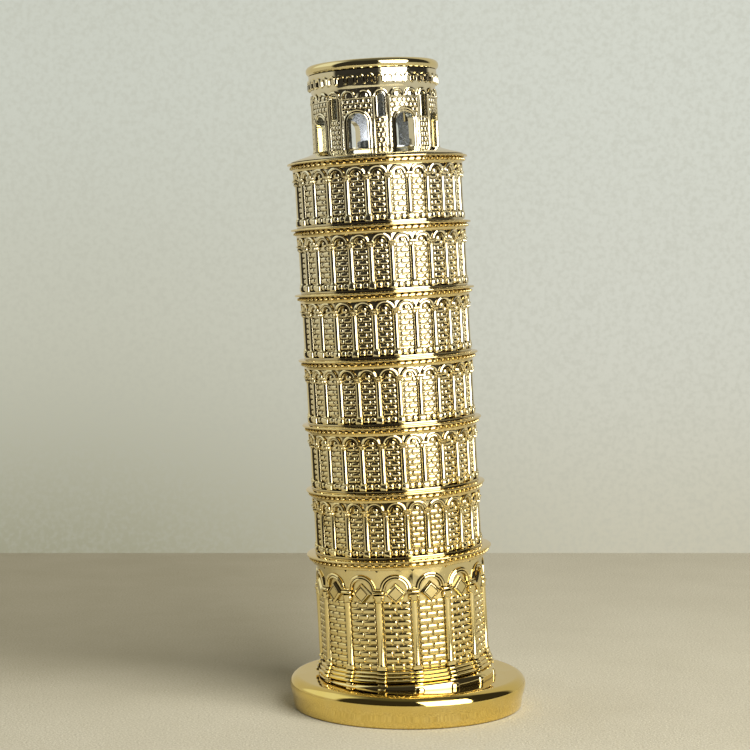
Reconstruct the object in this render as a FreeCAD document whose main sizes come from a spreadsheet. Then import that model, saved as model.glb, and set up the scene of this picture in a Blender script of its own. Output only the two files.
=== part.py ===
"""Leaning tower souvenir: cast storeys stacked on a round base and clamped by one leaning tie rod.

Millimetres. The origin is the centre of the base's underside and +Z is up. The tower's axis passes
through the origin and leans towards -X, so heights of the tower's pieces are distances along that axis.
Angles around the tower start at the front, -Y, and grow towards +X.
"""
import FreeCAD, Part
import math
import os
from types import SimpleNamespace

import Sketcher

Vector = FreeCAD.Vector
Rotation = FreeCAD.Rotation
Placement = FreeCAD.Placement

DRIVING_SIZES = {
    # the lean and the stack
    "lean": 3.24,
    "plinth_top": 11.1,
    "ground_height": 30.7,
    "storey_pitch": 18.1,
    "cornice_height": 2.8,
    "terrace_height": 2.1,
    "belfry_height": 21.3,
    "rim_height": 2.8,
    # base and felt
    "foot_radius": 32.2,
    "foot_height": 3.2,
    "lip_radius": 33.2,
    "lip_height": 5.6,
    "shoulder_round": 2.6,
    "base_height": 8.9,
    "felt_radius": 29.0,
    "felt_thickness": 1.2,
    "nut_seat": 5.2,
    # plinth course
    "course_radius": 23.4,
    "course_foot": 25.2,
    "course_depth": 6.0,
    # ground storey
    "ground_bays": 15,
    "ground_turn": 8.0,
    "ground_bore": 20.6,
    "step_radius": 24.6,
    "step_setback": 0.4,
    "step_height": 1.0,
    "recess_reach": 1.8,
    "collar_rise": 0.4,
    "abacus_height": 0.5,
    "ground_wall": 22.9,
    "ground_springing": 25.1,
    "ground_band": 23.5,
    "ground_arch_outer": 4.1,
    "ground_arch_inner": 3.2,
    "ground_arch_relief": 0.45,
    "ground_shaft": 0.95,
    "ground_capital": 1.35,
    "ground_capital_height": 3.0,
    "lozenge_reach": 2.95,
    "lozenge_centre": 24.0,
    "lozenge_relief": 0.75,
    # loggia storeys
    "loggia_bays": 25,
    "loggia_turn": 6.5,
    "loggia_bore": 20.2,
    "loggia_foot": 23.3,
    "foot_rise": 0.6,
    "loggia_wall": 22.5,
    "loggia_springing": 12.7,
    "loggia_band": 23.5,
    "loggia_arch_outer": 2.45,
    "loggia_arch_inner": 1.6,
    "loggia_arch_relief": 0.4,
    "loggia_shaft": 0.9,
    "loggia_block": 1.25,
    "block_height": 2.3,
    "loggia_capital_height": 1.5,
    # cornices
    "ground_lip": 25.9,
    "loggia_lip": 25.05,
    "cornice_root": 23.7,
    "cavetto_height": 1.4,
    "lip_thickness": 1.1,
    "lip_round": 0.5,
    "spigot_radius": 20.1,
    "spigot_wall": 1.6,
    "spigot_height": 0.8,
    # shells
    "web": 1.4,
    "hub_radius": 3.4,
    "rod_bore": 1.6,
    "play": 0.1,
    "through_length": 20.0,
    # belfry
    "terrace_radius": 24.0,
    "terrace_edge": 0.3,
    "belfry_foot": 17.9,
    "belfry_wall": 17.0,
    "belfry_bore": 14.2,
    "floor_rise": 0.6,
    "opening_reach": 3.0,
    "belfry_openings": 8,
    "belfry_turn": 6.0,
    "door_half": 2.7,
    "door_springing": 6.9,
    "door_arch_outer": 3.7,
    "door_arch_relief": 0.45,
    "slit_half": 0.9,
    "slit_sill": 8.4,
    "slit_springing": 14.0,
    "pilaster_radius": 0.55,
    "pilaster_offset": 2.1,
    "pilaster_height": 14.6,
    "crown_start": 17.0,
    "crown_flare": 1.4,
    "crown_radius": 17.7,
    "rim_radius": 18.4,
    "rim_bore": 12.9,
    "rim_round": 1.3,
    "boss_radius": 5.2,
    "boss_height": 5.0,
    "nut_pocket": 4.2,
    "nut_pocket_height": 3.7,
    # tie rod, nuts and washers
    "rod_radius": 1.5,
    "rod_start": 1.9,
    "rod_length": 154.4,
    "nut_width": 5.5,
    "nut_height": 2.4,
    "washer_radius": 3.5,
    "washer_height": 0.5,
}

LOGGIA_COUNT = 6
STEP_COUNT = 3
NEARLY = 1e-4


class Size:
    """A length with the spreadsheet expression that gives it."""

    def __init__(self, number, text):
        self.number = number
        self.text = text

    def __add__(self, other):
        return Size(self.number + other.number, f"({self.text} + {other.text})")

    def __sub__(self, other):
        return Size(self.number - other.number, f"({self.text} - {other.text})")

    def __mul__(self, factor):
        return Size(self.number * factor, f"({self.text} * {factor})")


doc = FreeCAD.newDocument("leaning_tower")
sheet = doc.addObject("Spreadsheet::Sheet", "sizes")
for row, (alias, value) in enumerate(DRIVING_SIZES.items(), start=1):
    sheet.set(f"A{row}", alias)
    sheet.set(f"B{row}", str(value))
    sheet.setAlias(f"B{row}", alias)
doc.recompute()

size = SimpleNamespace(**{alias: Size(value, f"sizes.{alias}") for alias, value in DRIVING_SIZES.items()})
ZERO = Size(0.0, "0")


# ---------------------------------------------------------------- placing on the leaning axis

def lean_placement(distance, turn=0.0):
    """Placement at a distance along the leaning axis, turned about it by degrees."""
    lean = Rotation(Vector(0, 1, 0), -size.lean.number)
    base = lean.multVec(Vector(0, 0, distance.number))
    return Placement(base, lean.multiply(Rotation(Vector(0, 0, 1), turn)))


def stand_on_axis(piece, distance, turn=0.0):
    """Put a piece on the leaning axis, with its position bound to the sheet."""
    piece.Placement = lean_placement(distance, turn)
    piece.setExpression(".Placement.Base.x", f"-({distance.text}) * sin(sizes.lean)")
    piece.setExpression(".Placement.Base.z", f"({distance.text}) * cos(sizes.lean)")


# ---------------------------------------------------------------- sketch and feature helpers

def new_body(label):
    body = doc.addObject("PartDesign::Body", label)
    body.Label = label
    return body


def origin_feature(body, role):
    return next(feature for feature in body.Origin.OriginFeatures if feature.Role == role)


def new_sketch(body, name, role, offset=None):
    """Sketch on one of the body's origin planes, moved by an offset in that plane's own frame."""
    sketch = body.newObject("Sketcher::SketchObject", f"{body.Name}_{name}")
    sketch.AttachmentSupport = [(origin_feature(body, role), "")]
    sketch.MapMode = "FlatFace"
    if offset is not None:
        sketch.AttachmentOffset = offset
    return sketch


def bind(sketch, kind, geometry, point, distance):
    """Hold a point at a bound distance from the sketch's origin along X or Y."""
    if distance.text == ZERO.text:
        axis = -2 if kind == "DistanceX" else -1
        sketch.addConstraint(Sketcher.Constraint("PointOnObject", geometry, point, axis))
        return
    constraint = Sketcher.Constraint(kind, -1, 1, geometry, point, distance.number)
    index = sketch.addConstraint(constraint)
    sketch.setExpression(f"Constraints[{index}]", distance.text)


def outline(sketch, corners):
    """Closed outline of straight sides with every corner bound to the sheet."""
    points = [Vector(x.number, y.number, 0) for x, y in corners]
    count = len(points)
    for index in range(count):
        sketch.addGeometry(Part.LineSegment(points[index], points[(index + 1) % count]), False)
    for index in range(count):
        sketch.addConstraint(Sketcher.Constraint("Coincident", index, 2, (index + 1) % count, 1))
    for index, (x, y) in enumerate(corners):
        bind(sketch, "DistanceX", index, 1, x)
        bind(sketch, "DistanceY", index, 1, y)


def circle(sketch, x, y, radius):
    """Circle with its centre and radius bound to the sheet."""
    geometry = sketch.addGeometry(
        Part.Circle(Vector(x.number, y.number, 0), Vector(0, 0, 1), radius.number), False)
    bind(sketch, "DistanceX", geometry, 3, x)
    bind(sketch, "DistanceY", geometry, 3, y)
    index = sketch.addConstraint(Sketcher.Constraint("Radius", geometry, radius.number))
    sketch.setExpression(f"Constraints[{index}]", radius.text)


def arched_shape(sketch, half_width, sill, springing):
    """Upright opening with a half-round head, centred on the sketch's Y axis."""
    left, right = -half_width.number, half_width.number
    low, high = sill.number, springing.number
    sketch.addGeometry(Part.LineSegment(Vector(left, high, 0), Vector(left, low, 0)), False)
    sketch.addGeometry(Part.LineSegment(Vector(left, low, 0), Vector(right, low, 0)), False)
    sketch.addGeometry(Part.LineSegment(Vector(right, low, 0), Vector(right, high, 0)), False)
    head = Part.Circle(Vector(0, high, 0), Vector(0, 0, 1), right)
    sketch.addGeometry(Part.ArcOfCircle(head, 0, math.pi), False)
    for first, first_point, second, second_point in ((0, 2, 1, 1), (1, 2, 2, 1), (2, 2, 3, 1), (3, 2, 0, 1)):
        sketch.addConstraint(Sketcher.Constraint("Coincident", first, first_point, second, second_point))
    bind(sketch, "DistanceX", 1, 2, half_width)
    bind(sketch, "DistanceY", 1, 2, sill)
    bind(sketch, "DistanceY", 1, 1, sill)
    bind(sketch, "DistanceX", 2, 2, half_width)
    bind(sketch, "DistanceY", 2, 2, springing)
    bind(sketch, "DistanceX", 3, 3, ZERO)
    bind(sketch, "DistanceY", 3, 3, springing)
    sketch.addConstraint(Sketcher.Constraint("Vertical", 0))


def half_ring(sketch, centre, outer, inner):
    """Upper half of a flat ring, centred on the sketch's Y axis."""
    middle = Vector(0, centre.number, 0)
    for radius in (outer.number, inner.number):
        sketch.addGeometry(Part.ArcOfCircle(Part.Circle(middle, Vector(0, 0, 1), radius), 0, math.pi), False)
    for side in (1, -1):
        start = Vector(side * inner.number, centre.number, 0)
        end = Vector(side * outer.number, centre.number, 0)
        sketch.addGeometry(Part.LineSegment(start, end), False)
    for first, first_point, second, second_point in ((2, 1, 1, 1), (2, 2, 0, 1), (3, 1, 1, 2), (3, 2, 0, 2)):
        sketch.addConstraint(Sketcher.Constraint("Coincident", first, first_point, second, second_point))
    for arc, radius in ((0, outer), (1, inner)):
        bind(sketch, "DistanceX", arc, 3, ZERO)
        bind(sketch, "DistanceY", arc, 3, centre)
        index = sketch.addConstraint(Sketcher.Constraint("Radius", arc, radius.number))
        sketch.setExpression(f"Constraints[{index}]", radius.text)
    for side in (2, 3):
        sketch.addConstraint(Sketcher.Constraint("Horizontal", side))


def revolve(body, name, corners, offset=None):
    """Revolve an upright outline about its sketch's vertical axis."""
    sketch = new_sketch(body, f"{name}_outline", "XZ_Plane", offset)
    outline(sketch, corners)
    feature = body.newObject("PartDesign::Revolution", f"{body.Name}_{name}")
    feature.Profile = (sketch, [""])
    feature.ReferenceAxis = (sketch, ["V_Axis"])
    feature.Angle = 360
    feature.Refine = False
    doc.recompute()
    return feature


def at_front(radius, turn=0.0):
    """Offset that moves an upright XZ sketch to a radius and turns it about the tower's axis."""
    turned = Rotation(Vector(0, 1, 0), turn)
    return Placement(turned.multVec(Vector(0, 0, radius)), turned)


def raise_shape(body, name, radius, relief, draw, turn=0.0):
    """Pad a shape outwards from a plane that touches the wall at a radius."""
    sketch = new_sketch(body, f"{name}_shape", "XZ_Plane", at_front(radius.number, turn))
    draw(sketch)
    feature = body.newObject("PartDesign::Pad", f"{body.Name}_{name}")
    feature.Profile = (sketch, [""])
    feature.Length = relief.number
    feature.setExpression("Length", relief.text)
    feature.Refine = False
    doc.recompute()
    return feature


def sink_shape(body, name, radius, depth, draw, turn=0.0):
    """Pocket a shape inwards from a plane outside the wall, and make sure that it cuts."""
    before = body.Shape.Volume
    sketch = new_sketch(body, f"{name}_shape", "XZ_Plane", at_front(radius.number, turn))
    draw(sketch)
    feature = body.newObject("PartDesign::Pocket", f"{body.Name}_{name}")
    feature.Profile = (sketch, [""])
    feature.Length = depth.number
    feature.setExpression("Length", depth.text)
    feature.Refine = False
    doc.recompute()
    if body.Shape.Volume >= before:
        raise RuntimeError(f"{feature.Name} cuts nothing")
    return feature


def around_tower(body, name, features, count):
    """Repeat features around the body's own upright axis."""
    pattern = body.newObject("PartDesign::PolarPattern", f"{body.Name}_{name}")
    pattern.Originals = features
    pattern.Axis = (origin_feature(body, "Z_Axis"), [""])
    pattern.Angle = 360
    pattern.Occurrences = int(count.number)
    pattern.setExpression("Occurrences", count.text)
    pattern.Refine = False
    body.Tip = pattern
    doc.recompute()
    return pattern


def column(body, name, radius, foot, shaft, block, block_top, capital_base, top, turn):
    """Engaged column: a block, a round shaft and a flared capital, turned about its own axis."""
    corners = [
        (ZERO, foot),
        (block, foot),
        (block, block_top),
        (shaft, block_top + size.collar_rise),
        (shaft, capital_base),
        (block, top - size.abacus_height),
        (block, top),
        (ZERO, top),
    ]
    turned = Rotation(Vector(0, 1, 0), turn)
    offset = Placement(turned.multVec(Vector(0, 0, radius.number)), turned)
    return revolve(body, name, corners, offset)


def shell_outline(bore, height, outside):
    """Section of a cast shell: outer wall, top web and the hub that the rod passes through."""
    under_web = height - size.web
    inside = [
        (size.rod_bore, height),
        (size.rod_bore, ZERO),
        (size.hub_radius, ZERO),
        (size.hub_radius, under_web),
        (bore, under_web),
        (bore, ZERO),
    ]
    return inside + outside


def repeat_of(master, label):
    """Another casting from the same mould as an existing body."""
    body = new_body(label)
    copy = doc.addObject("PartDesign::FeatureBase", f"{label}_casting")
    body.Group = [copy]
    copy.BaseFeature = master
    body.Tip = copy
    doc.recompute()
    return body


# ---------------------------------------------------------------- base and felt

def make_base():
    """Low flat-topped base with a rounded shoulder, a felt recess and the tilted seat of the lower nut."""
    body = new_body("base")
    revolve(body, "disc", [
        (ZERO, size.base_height),
        (ZERO, size.felt_thickness),
        (size.felt_radius + size.play, size.felt_thickness),
        (size.felt_radius + size.play, ZERO),
        (size.foot_radius, ZERO),
        (size.foot_radius, size.foot_height),
        (size.lip_radius, size.lip_height),
        (size.lip_radius, size.base_height),
    ])
    round_lip(body, size.lip_radius, size.shoulder_round, size.base_height)
    for name, radius, depth in (("rod_bore", size.rod_bore, size.through_length),
                                ("nut_seat", size.nut_pocket, size.nut_seat)):
        before = body.Shape.Volume
        tilt = Placement(Vector(0, 0, 0), Rotation(Vector(0, 1, 0), -size.lean.number))
        sketch = new_sketch(body, f"{name}_circle", "XY_Plane", tilt)
        circle(sketch, ZERO, ZERO, radius)
        pocket = body.newObject("PartDesign::Pocket", f"base_{name}")
        pocket.Profile = (sketch, [""])
        pocket.Length = depth.number
        pocket.setExpression("Length", depth.text)
        pocket.Reversed = True
        pocket.Refine = False
        doc.recompute()
        if body.Shape.Volume >= before:
            raise RuntimeError(f"{pocket.Name} cuts nothing")
    return body


def round_lip(body, radius, round_radius, level=None):
    """Fillet the circular edges of a lip of a given radius, or only the edge at one level."""
    tip = body.Tip
    names = []
    for index, edge in enumerate(tip.Shape.Edges, start=1):
        if not isinstance(edge.Curve, Part.Circle) or abs(edge.Curve.Radius - radius.number) > NEARLY:
            continue
        if level is None or abs(edge.Curve.Center.z - level.number) < NEARLY:
            names.append(f"Edge{index}")
    fillet = body.newObject("PartDesign::Fillet", f"{body.Name}_lip_round")
    fillet.Base = (tip, names)
    fillet.Radius = round_radius.number
    fillet.setExpression("Radius", round_radius.text)
    doc.recompute()


def make_felt():
    """Felt disc that fills the recess under the base."""
    felt = doc.addObject("Part::Cylinder", "base_felt")
    felt.Label = "base_felt"
    felt.setExpression("Radius", "sizes.felt_radius")
    felt.setExpression("Height", "sizes.felt_thickness")
    return felt


# ---------------------------------------------------------------- tower pieces

def make_plinth():
    """Bottom course: flared, flat underneath on the base, square to the leaning axis on top."""
    disc = doc.addObject("Part::Cone", "course_disc")
    disc.setExpression("Radius1", "sizes.course_foot")
    disc.setExpression("Radius2", "sizes.course_radius")
    disc.setExpression("Height", "sizes.course_depth")
    stand_on_axis(disc, size.plinth_top - size.course_depth)
    bore = doc.addObject("Part::Cylinder", "course_bore")
    bore.setExpression("Radius", "sizes.rod_bore")
    bore.setExpression("Height", "sizes.through_length")
    stand_on_axis(bore, ZERO)
    below = doc.addObject("Part::Cylinder", "course_below")
    below.setExpression("Radius", "sizes.lip_radius")
    below.setExpression("Height", "sizes.base_height")
    trimmed = doc.addObject("Part::Cut", "course_trimmed")
    trimmed.Base = disc
    trimmed.Tool = below
    plinth = doc.addObject("Part::Cut", "tower_plinth")
    plinth.Label = "tower_plinth"
    plinth.Base = trimmed
    plinth.Tool = bore
    return plinth


def make_ground_storey():
    """Tall ground storey with three steps, engaged columns, blind arches and lozenges."""
    body = new_body("ground_storey")
    steps = []
    radius = size.step_radius
    height = ZERO
    for _ in range(STEP_COUNT):
        steps += [(radius, height), (radius, height + size.step_height)]
        radius = radius - size.step_setback
        height = height + size.step_height
    outside = steps + [
        (size.ground_wall, height),
        (size.ground_wall, size.ground_springing),
        (size.ground_band, size.ground_springing),
        (size.ground_band, size.ground_height),
    ]
    revolve(body, "wall", shell_outline(size.ground_bore, size.ground_height, outside))
    half_bay = 180.0 / size.ground_bays.number
    relief = size.ground_band - size.ground_wall
    arch = sink_shape(
        body, "arch_recess", size.ground_wall + size.recess_reach, size.recess_reach,
        lambda sketch: circle(sketch, ZERO, size.ground_springing, size.ground_arch_inner))
    around_tower(body, "arch_recesses", [arch], size.ground_bays)
    archivolt = raise_shape(
        body, "archivolt", size.ground_wall, size.ground_arch_relief + relief,
        lambda sketch: half_ring(sketch, size.ground_springing, size.ground_arch_outer, size.ground_arch_inner))
    lozenge = raise_shape(
        body, "lozenge", size.ground_wall - size.play, size.lozenge_relief,
        lambda sketch: outline(sketch, [
            (ZERO, size.lozenge_centre - size.lozenge_reach),
            (size.lozenge_reach, size.lozenge_centre),
            (ZERO, size.lozenge_centre + size.lozenge_reach),
            (ZERO - size.lozenge_reach, size.lozenge_centre),
        ]))
    shaft = column(
        body, "column", size.ground_wall, height, size.ground_shaft, size.ground_capital,
        height + size.step_height, size.ground_springing - size.ground_capital_height,
        size.ground_springing, half_bay)
    around_tower(body, "bays", [archivolt, lozenge, shaft], size.ground_bays)
    return body


def make_loggia_storey(label):
    """One loggia storey: blind arcade of slender columns on square-set blocks."""
    body = new_body(label)
    height = size.storey_pitch - size.cornice_height
    outside = [
        (size.loggia_foot, ZERO),
        (size.loggia_foot, size.foot_rise),
        (size.loggia_wall, size.foot_rise),
        (size.loggia_wall, size.loggia_springing),
        (size.loggia_band, size.loggia_springing),
        (size.loggia_band, height),
    ]
    revolve(body, "wall", shell_outline(size.loggia_bore, height, outside))
    half_bay = 180.0 / size.loggia_bays.number
    relief = size.loggia_band - size.loggia_wall
    arch = sink_shape(
        body, "arch_recess", size.loggia_wall + size.recess_reach, size.recess_reach,
        lambda sketch: circle(sketch, ZERO, size.loggia_springing, size.loggia_arch_inner))
    around_tower(body, "arch_recesses", [arch], size.loggia_bays)
    archivolt = raise_shape(
        body, "archivolt", size.loggia_wall, size.loggia_arch_relief + relief,
        lambda sketch: half_ring(sketch, size.loggia_springing, size.loggia_arch_outer, size.loggia_arch_inner))
    shaft = column(
        body, "column", size.loggia_wall, ZERO, size.loggia_shaft, size.loggia_block,
        size.block_height, size.loggia_springing - size.loggia_capital_height,
        size.loggia_springing, half_bay)
    around_tower(body, "bays", [archivolt, shaft], size.loggia_bays)
    return body


def make_cornice(label, lip):
    """Cornice ring and thin deck in one casting, with the spigot that centres the storey above."""
    body = new_body(label)
    lip_bottom = size.cavetto_height
    lip_top = size.cavetto_height + size.lip_thickness
    revolve(body, "deck", [
        (size.rod_bore, ZERO),
        (size.cornice_root, ZERO),
        (size.cornice_root + size.lip_round, lip_bottom),
        (lip, lip_bottom),
        (lip, lip_top),
        (size.cornice_root, size.cornice_height),
        (size.spigot_radius, size.cornice_height),
        (size.spigot_radius, size.cornice_height + size.spigot_height),
        (size.spigot_radius - size.spigot_wall, size.cornice_height + size.spigot_height),
        (size.spigot_radius - size.spigot_wall, size.web),
        (size.hub_radius, size.web),
        (size.hub_radius, size.cornice_height),
        (size.rod_bore, size.cornice_height),
    ])
    round_lip(body, lip, size.lip_round)
    return body


def make_terrace():
    """Sloping terrace and belfry floor, with a blind boss over the upper nut."""
    body = new_body("belfry_terrace")
    groove_top = size.spigot_height + size.play
    revolve(body, "plate", [
        (ZERO, size.boss_height),
        (ZERO, size.nut_pocket_height),
        (size.nut_pocket, size.nut_pocket_height),
        (size.nut_pocket, ZERO),
        (size.spigot_radius - size.spigot_wall - size.play, ZERO),
        (size.spigot_radius - size.spigot_wall - size.play, groove_top),
        (size.spigot_radius + size.play, groove_top),
        (size.spigot_radius + size.play, ZERO),
        (size.terrace_radius, ZERO),
        (size.terrace_radius, size.terrace_edge),
        (size.belfry_foot, size.terrace_height),
        (size.belfry_bore - size.play, size.terrace_height),
        (size.belfry_bore - size.play, size.terrace_height + size.floor_rise),
        (size.boss_radius, size.terrace_height + size.floor_rise),
        (size.boss_radius, size.boss_height),
    ])
    return body


def make_belfry_drum():
    """Open belfry drum: eight arched doorways, eight slit windows and the flared crown band."""
    body = new_body("belfry_drum")
    revolve(body, "wall", [
        (size.belfry_bore, ZERO),
        (size.belfry_wall, ZERO),
        (size.belfry_wall, size.crown_start),
        (size.crown_radius, size.crown_start + size.crown_flare),
        (size.crown_radius, size.belfry_height),
        (size.belfry_bore, size.belfry_height),
    ])
    between = 180.0 / size.belfry_openings.number
    start = size.belfry_wall + size.opening_reach
    depth = start - size.belfry_bore + size.opening_reach
    door = sink_shape(
        body, "door", start, depth,
        lambda sketch: arched_shape(sketch, size.door_half, ZERO - size.opening_reach, size.door_springing),
        between)
    around_tower(body, "doors", [door], size.belfry_openings)
    slit = sink_shape(
        body, "slit", start, depth,
        lambda sketch: arched_shape(sketch, size.slit_half, size.slit_sill, size.slit_springing))
    around_tower(body, "slits", [slit], size.belfry_openings)
    moulding = raise_shape(
        body, "door_moulding", size.belfry_wall - size.door_arch_relief, size.door_arch_relief * 2,
        lambda sketch: half_ring(sketch, size.door_springing, size.door_arch_outer, size.door_half), between)
    pilaster_sketch = new_sketch(body, "pilaster_circles", "XY_Plane")
    for side in (-1, 1):
        circle(pilaster_sketch, size.pilaster_offset * side, ZERO - size.belfry_wall, size.pilaster_radius)
    pilasters = body.newObject("PartDesign::Pad", "belfry_drum_pilasters")
    pilasters.Profile = (pilaster_sketch, [""])
    pilasters.Length = size.pilaster_height.number
    pilasters.setExpression("Length", size.pilaster_height.text)
    pilasters.Refine = False
    doc.recompute()
    around_tower(body, "bays", [moulding, pilasters], size.belfry_openings)
    return body


def make_belfry_rim():
    """Rounded ring that caps the belfry, centred by a spigot in the drum."""
    body = new_body("belfry_rim")
    revolve(body, "ring", [
        (size.rim_bore, ZERO - size.spigot_height),
        (size.belfry_bore - size.play, ZERO - size.spigot_height),
        (size.belfry_bore - size.play, ZERO),
        (size.rim_radius, ZERO),
        (size.rim_radius, size.rim_height),
        (size.rim_bore, size.rim_height),
    ])
    round_lip(body, size.rim_radius, size.rim_round)
    return body


# ---------------------------------------------------------------- tie rod and its fasteners

def make_rod():
    rod = doc.addObject("Part::Cylinder", "tie_rod")
    rod.Label = "tie_rod"
    rod.setExpression("Radius", "sizes.rod_radius")
    rod.setExpression("Height", "sizes.rod_length")
    stand_on_axis(rod, size.rod_start)
    return rod


def bored(label, blank, height, distance):
    """Cut the rod's clearance bore through a blank that stands on the axis."""
    stand_on_axis(blank, distance)
    bore = doc.addObject("Part::Cylinder", f"{label}_bore")
    bore.setExpression("Radius", "sizes.rod_radius + sizes.play / 2")
    bore.setExpression("Height", height.text)
    stand_on_axis(bore, distance)
    cut = doc.addObject("Part::Cut", label)
    cut.Label = label
    cut.Base = blank
    cut.Tool = bore
    return cut


def make_nut(label, distance):
    blank = doc.addObject("Part::Prism", f"{label}_blank")
    blank.Polygon = 6
    blank.setExpression("Circumradius", "sizes.nut_width / sqrt(3)")
    blank.setExpression("Height", "sizes.nut_height")
    return bored(label, blank, size.nut_height, distance)


def make_washer(label, distance):
    blank = doc.addObject("Part::Cylinder", f"{label}_blank")
    blank.setExpression("Radius", "sizes.washer_radius")
    blank.setExpression("Height", "sizes.washer_height")
    return bored(label, blank, size.washer_height, distance)


# ---------------------------------------------------------------- assembly

def assemble():
    pieces = [make_base(), make_felt(), make_plinth()]

    ground = make_ground_storey()
    stand_on_axis(ground, size.plinth_top, size.ground_turn.number - 180.0 / size.ground_bays.number)
    ground_cornice = make_cornice("ground_cornice", size.ground_lip)
    ground_top = size.plinth_top + size.ground_height
    stand_on_axis(ground_cornice, ground_top)
    pieces += [ground, ground_cornice]

    storey_turn = size.loggia_turn.number - 180.0 / size.loggia_bays.number
    storey_foot = ground_top + size.cornice_height
    first_storey = make_loggia_storey("loggia_storey_1")
    first_cornice = make_cornice("loggia_cornice_1", size.loggia_lip)
    for number in range(1, LOGGIA_COUNT + 1):
        storey = first_storey if number == 1 else repeat_of(first_storey, f"loggia_storey_{number}")
        cornice = first_cornice if number == 1 else repeat_of(first_cornice, f"loggia_cornice_{number}")
        stand_on_axis(storey, storey_foot, storey_turn)
        storey_foot = storey_foot + size.storey_pitch
        stand_on_axis(cornice, storey_foot - size.cornice_height)
        pieces += [storey, cornice]

    terrace = make_terrace()
    stand_on_axis(terrace, storey_foot)
    drum = make_belfry_drum()
    drum_foot = storey_foot + size.terrace_height
    stand_on_axis(drum, drum_foot, size.belfry_turn.number)
    rim = make_belfry_rim()
    stand_on_axis(rim, drum_foot + size.belfry_height)
    pieces += [terrace, drum, rim]

    pieces += [
        make_rod(),
        make_washer("lower_washer", size.nut_seat - size.washer_height),
        make_nut("lower_nut", size.nut_seat - size.washer_height - size.nut_height),
        make_washer("upper_washer", storey_foot),
        make_nut("upper_nut", storey_foot + size.washer_height),
    ]
    doc.recompute()
    return pieces


def check_document():
    for item in doc.Objects:
        if "Invalid" in item.State or "Error" in item.State:
            raise RuntimeError(f"{item.Name} is {item.State}")


def export(pieces):
    os.makedirs("parts", exist_ok=True)
    for piece in pieces:
        shape = piece.Shape
        if shape.isNull() or not shape.isValid() or len(shape.Solids) != 1:
            raise RuntimeError(f"{piece.Label} has no single valid solid")
        shape.exportStep(os.path.join("parts", f"{piece.Label}.step"))
        print(f"{piece.Label}: {shape.Volume / 1000:.2f} cm3")


assembly = assemble()
check_document()
export(assembly)
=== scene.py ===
import math

import bmesh
import bpy
from mathutils import Matrix, Vector


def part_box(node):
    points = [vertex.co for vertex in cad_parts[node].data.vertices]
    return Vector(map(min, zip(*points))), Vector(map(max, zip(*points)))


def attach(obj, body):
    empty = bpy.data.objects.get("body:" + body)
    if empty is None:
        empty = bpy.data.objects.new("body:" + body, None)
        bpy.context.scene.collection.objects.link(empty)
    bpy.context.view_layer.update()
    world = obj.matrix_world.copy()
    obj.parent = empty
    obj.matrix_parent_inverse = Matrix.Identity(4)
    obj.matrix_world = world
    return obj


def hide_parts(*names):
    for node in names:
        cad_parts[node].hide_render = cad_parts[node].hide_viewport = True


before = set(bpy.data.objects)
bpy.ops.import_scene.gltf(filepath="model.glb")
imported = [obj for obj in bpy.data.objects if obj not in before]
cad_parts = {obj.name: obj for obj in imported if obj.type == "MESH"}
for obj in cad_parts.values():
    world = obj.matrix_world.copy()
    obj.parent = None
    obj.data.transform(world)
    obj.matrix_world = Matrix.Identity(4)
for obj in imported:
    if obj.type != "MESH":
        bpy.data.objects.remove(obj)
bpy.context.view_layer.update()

MM = 0.001


def box_centre(node):
    low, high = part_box(node)
    return (Vector(low) + Vector(high)) / 2


# ---------------------------------------------------------------- driving sizes, in millimetres

# The axis runs through the centres of two equal cornices, whose spacing also gives the storey pitch.
axis_run = box_centre("loggia_cornice_6") - box_centre("loggia_cornice_1")
LEAN = math.atan2(-axis_run.x, axis_run.z)
PITCH = axis_run.length / MM / 5

LOGGIA_COUNT = 6
PLINTH_TOP = 11.1
GROUND_HEIGHT = 30.7
CORNICE_HEIGHT = 2.8
STOREY_HEIGHT = PITCH - CORNICE_HEIGHT
GROUND_TOP = PLINTH_TOP + GROUND_HEIGHT
FIRST_FOOT = GROUND_TOP + CORNICE_HEIGHT
TERRACE_FOOT = FIRST_FOOT + PITCH * LOGGIA_COUNT
TERRACE_HEIGHT = 2.1
BELFRY_FOOT = TERRACE_FOOT + TERRACE_HEIGHT
BELFRY_HEIGHT = 21.3
RIM_HEIGHT = 2.8

GROUND_BAYS = 15
GROUND_TURN = 8.0
LOGGIA_BAYS = 25
LOGGIA_TURN = 6.5
BELFRY_BAYS = 8
BELFRY_TURN = 6.0
BEADS = 75
CORBELS = 40

GROUND_WALL = 22.8
LOGGIA_WALL = 22.3
BELFRY_WALL = 17.0
BELFRY_BORE = 14.2
BELFRY_COURSE = 1.32
BELFRY_BRICK = (0.38, 0.6)  # depth, and how far its shoulders reach in
DOOR_WIDTH, DOOR_SPRINGING = 5.4, 6.9
SLIT_WIDTH, SLIT_SILL, SMALL_SPRINGING = 1.8, 8.4, 14.0
ROD_BORE = 1.6
HUB = 3.4
WEB = 1.4

BASE_HEIGHT = 8.9
FELT_RADIUS = 29.0
FELT_THICKNESS = 1.2


# Sections of the small raised shapes, from the wall up: share of the inset or reach, and rise.
PILLOW_SECTION = [(0.0, -0.4), (0.0, 0.0), (0.12, 0.38), (0.36, 0.74), (0.66, 0.93), (1.0, 1.0)]
LOZENGE_SECTION = [(1.0, -0.3), (1.0, 0.12), (0.97, 0.2), (0.8, 0.62), (0.77, 0.66), (0.72, 0.66),
                   (0.69, 0.6), (0.66, 0.3), (0.63, 0.3), (0.6, 0.5), (0.58, 0.55)]

# Gap between bricks.
JOINT = 0.08


# ---------------------------------------------------------------- shapes: (across, out, up) points and faces

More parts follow.
